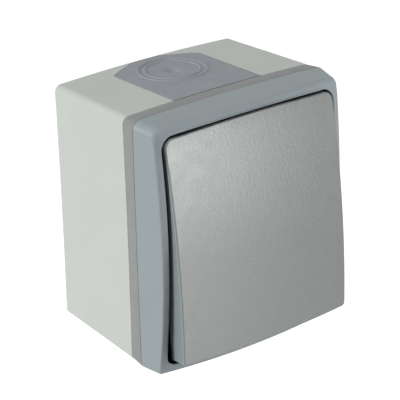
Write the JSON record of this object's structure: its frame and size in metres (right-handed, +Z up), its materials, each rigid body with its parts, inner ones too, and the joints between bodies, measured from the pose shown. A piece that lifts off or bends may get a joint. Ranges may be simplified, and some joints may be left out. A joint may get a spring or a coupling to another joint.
{
  "type": "surface mounted light switch",
  "caption": "Weather-resistant surface mounted light switch: grey back box with cable entry membranes, gasket, blue-grey front frame and a large tilting rocker in silver lacquer.",
  "frame": {"origin": "centre of the back box's wall face", "axes": "+Z up along the wall, +Y into the wall, the rocker faces -Y, +X to the right as the user sees it"},
  "size_m": [0.0702, 0.0577, 0.0794],
  "materials": {
    "box_grey": "finely textured thermoplastic",
    "membrane_grey": "soft elastomer",
    "gasket_grey": "soft elastomer",
    "frame_grey": "satin thermoplastic",
    "rocker_silver": "silver metallic lacquer on blue-grey plastic",
    "carrier_grey": "moulded thermoplastic",
    "black_rubber": "black elastomer",
    "mechanism_white": "off-white moulding",
    "mechanism_grey": "dark grey moulding",
    "steel": "zinc-plated steel",
    "brass": "plain brass strip",
    "copper": "copper alloy strip",
    "contact_silver": "silver contact alloy"
  },
  "bodies": {
    "housing": {"back_box": "box_grey", "top_entry_membrane": "membrane_grey", "bottom_entry_membrane": "membrane_grey", "fixing_grommet_left": "black_rubber", "fixing_grommet_right": "black_rubber", "box_gasket": "gasket_grey", "front_frame": "frame_grey", "frame_screw_left": "steel", "frame_screw_right": "steel", "plate_screw_left": "steel", "plate_screw_right": "steel", "rocker_seal": "black_rubber", "mounting_plate": "steel", "mechanism_base": "mechanism_white", "mechanism_cover": "mechanism_grey", "common_terminal": "brass", "switched_terminal_1": "brass", "switched_terminal_2": "brass", "terminal_clamp_1": "steel", "terminal_clamp_2": "steel", "terminal_clamp_3": "steel", "terminal_screw_1": "steel", "terminal_screw_2": "steel", "terminal_screw_3": "steel", "fixed_contact_1": "contact_silver", "fixed_contact_2": "contact_silver"},
    "rocker_unit": {"rocker": "rocker_silver", "rocker_carrier": "carrier_grey", "plunger": "mechanism_grey", "plunger_spring": "steel"},
    "contact_lever_unit": {"contact_lever": "copper", "moving_contact_1": "contact_silver", "moving_contact_2": "contact_silver"}
  },
  "joints": [
    {"name": "rocker_tilt", "type": "hinge", "parent": "housing", "child": "rocker_unit", "pos_m": [0, -0.0485, 0], "axis": [1, 0, 0], "range_deg": [0, 11]},
    {"name": "contact_lever_tilt", "type": "hinge", "parent": "housing", "child": "contact_lever_unit", "pos_m": [0, -0.0275, 0], "axis": [1, 0, 0], "range_deg": [-16, 0]}
  ],
  "couplings": [
    {"joint": "contact_lever_tilt", "follows": "rocker_tilt", "ratio": -1.4545}
  ]
}
